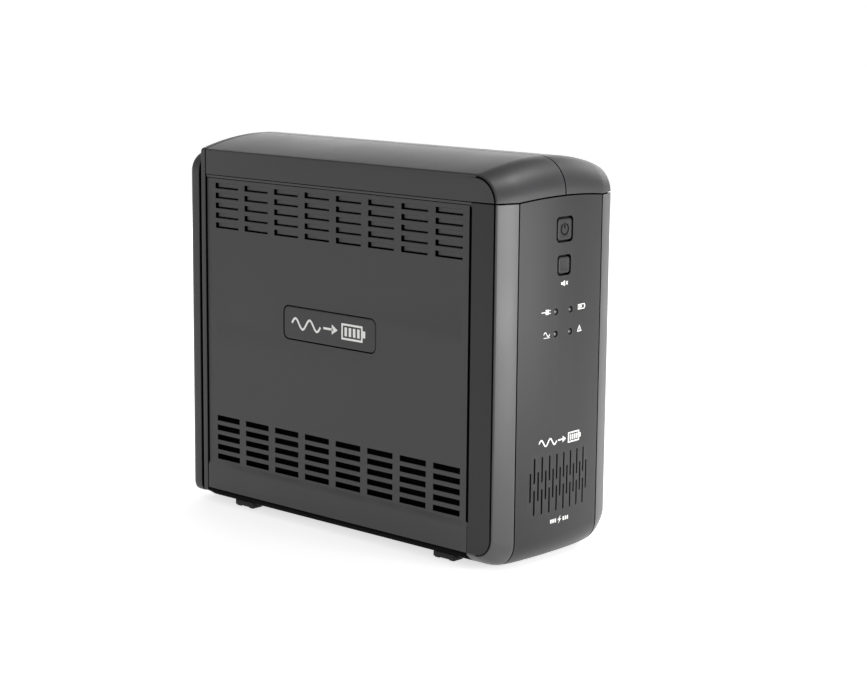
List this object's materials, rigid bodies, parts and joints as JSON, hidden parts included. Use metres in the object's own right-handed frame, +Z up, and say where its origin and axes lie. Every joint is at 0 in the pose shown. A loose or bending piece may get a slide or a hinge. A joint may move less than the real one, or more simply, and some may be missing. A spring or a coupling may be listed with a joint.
{
  "type": "uninterruptible power supply",
  "caption": "Narrow tower uninterruptible power supply with louvred side shells, bowed front panel with push buttons, rear sockets and a sliding battery door.",
  "frame": {"origin": "on the floor under the middle of the case", "axes": "+Z up, front towards -Y, +X to the right as seen from the front"},
  "size_m": [0.1, 0.2588, 0.2292],
  "materials": {
    "case_charcoal": "fine textured moulding",
    "fascia_grey": "satin",
    "badge_black": "satin",
    "foot_rubber": "matt",
    "screw_steel": "zinc plated",
    "lens_smoke": "smoked",
    "circuit_board": "solder mask",
    "component_black": "moulded",
    "socket_black": "moulded",
    "contact_brass": "plated",
    "battery_plastic": "moulded",
    "sheet_steel": "galvanised",
    "core_steel": "varnished laminations",
    "winding": "taped winding",
    "heat_sink_aluminium": "mill finish",
    "capacitor_sleeve": "heat shrink sleeve",
    "lead_red": "insulation",
    "lead_black": "insulation"
  },
  "bodies": {
    "case": {"left_shell": "case_charcoal", "right_shell": "case_charcoal", "front_bezel": "case_charcoal", "rear_panel": "case_charcoal", "front_panel": "fascia_grey", "badge_left": "badge_black", "badge_right": "badge_black", "foot_front_left": "foot_rubber", "foot_rear_left": "foot_rubber", "foot_front_right": "foot_rubber", "foot_rear_right": "foot_rubber", "case_screw_1": "screw_steel", "case_screw_2": "screw_steel", "case_screw_3": "screw_steel", "case_screw_4": "screw_steel", "led_online": "lens_smoke", "led_battery": "lens_smoke", "led_regulation": "lens_smoke", "led_overload": "lens_smoke", "control_board": "circuit_board", "main_board": "circuit_board", "power_switch": "component_black", "mute_switch": "component_black", "buzzer": "component_black", "relay_1": "component_black", "relay_2": "component_black", "outlet_1": "socket_black", "outlet_2": "socket_black", "outlet_3": "socket_black", "outlet_4": "socket_black", "outlet_5": "socket_black", "outlet_6": "socket_black", "outlet_7": "socket_black", "outlet_8": "socket_black", "inlet_housing": "socket_black", "breaker_collar": "socket_black", "network_jacks": "socket_black", "inlet_pin_1": "contact_brass", "inlet_pin_2": "contact_brass", "inlet_pin_3": "contact_brass", "battery_terminal_positive": "contact_brass", "battery_terminal_negative": "contact_brass", "fuse": "contact_brass", "usb_port": "sheet_steel", "component_shelf": "sheet_steel", "transformer_bracket": "sheet_steel", "battery_case": "battery_plastic", "transformer_core": "core_steel", "transformer_coil": "winding", "heat_sink_1": "heat_sink_aluminium", "heat_sink_2": "heat_sink_aluminium", "capacitor_1": "capacitor_sleeve", "capacitor_2": "capacitor_sleeve", "battery_lead_positive": "lead_red", "battery_lead_negative": "lead_black", "signal_lead": "lead_black"},
    "power_button": {"power_button": "fascia_grey"},
    "mute_button": {"mute_button": "fascia_grey"},
    "breaker_button": {"breaker_button": "socket_black"},
    "battery_door": {"battery_door": "case_charcoal"}
  },
  "joints": [
    {"name": "power_button_press", "type": "slide", "parent": "case", "child": "power_button", "axis": [0, 1, 0], "range_m": [0, 0.001], "stiffness_N_per_m": 1500},
    {"name": "mute_button_press", "type": "slide", "parent": "case", "child": "mute_button", "axis": [0, 1, 0], "range_m": [0, 0.001], "stiffness_N_per_m": 1500},
    {"name": "breaker_button_press", "type": "slide", "parent": "case", "child": "breaker_button", "axis": [0, -1, 0], "range_m": [0, 0.0025], "stiffness_N_per_m": 2000},
    {"name": "battery_door_slide", "type": "slide", "parent": "case", "child": "battery_door", "axis": [0, 1, 0], "range_m": [0, 0.04]}
  ]
}
